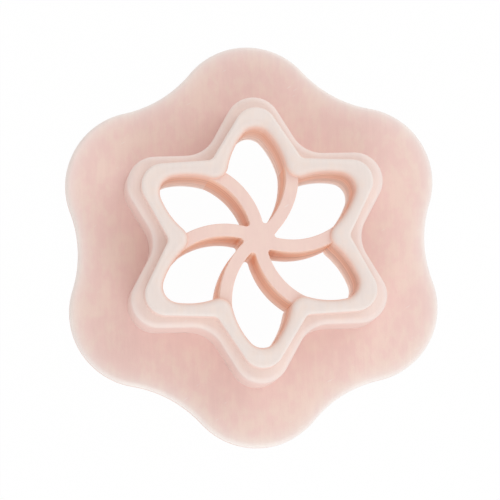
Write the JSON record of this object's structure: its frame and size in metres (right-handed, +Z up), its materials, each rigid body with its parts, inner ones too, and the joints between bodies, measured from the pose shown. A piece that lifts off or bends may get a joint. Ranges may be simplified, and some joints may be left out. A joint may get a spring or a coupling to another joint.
{
  "type": "cookie cutter",
  "caption": "Flower cookie cutter: lobed press flange, stepped star-shaped cutting wall and curved pinwheel ribs that meet in a hub and mark the petals.",
  "frame": {"origin": "centre of the flower on the flange's flat underside", "axes": "+Z up through the windows towards the cutting rim, +Y towards a petal tip and the flange lobe behind it, +X towards a valley between two petals"},
  "size_m": [0.0552, 0.0604, 0.013],
  "materials": {
    "pink_plastic": "matte skin-pink printed plastic, slightly translucent"
  },
  "bodies": {
    "root": {"press_flange": "pink_plastic", "wall_foot": "pink_plastic", "cutting_rim": "pink_plastic", "hub_boss": "pink_plastic", "petal_rib_1": "pink_plastic", "petal_rib_2": "pink_plastic", "petal_rib_3": "pink_plastic", "petal_rib_4": "pink_plastic", "petal_rib_5": "pink_plastic", "petal_rib_6": "pink_plastic"}
  },
  "joints": []
}
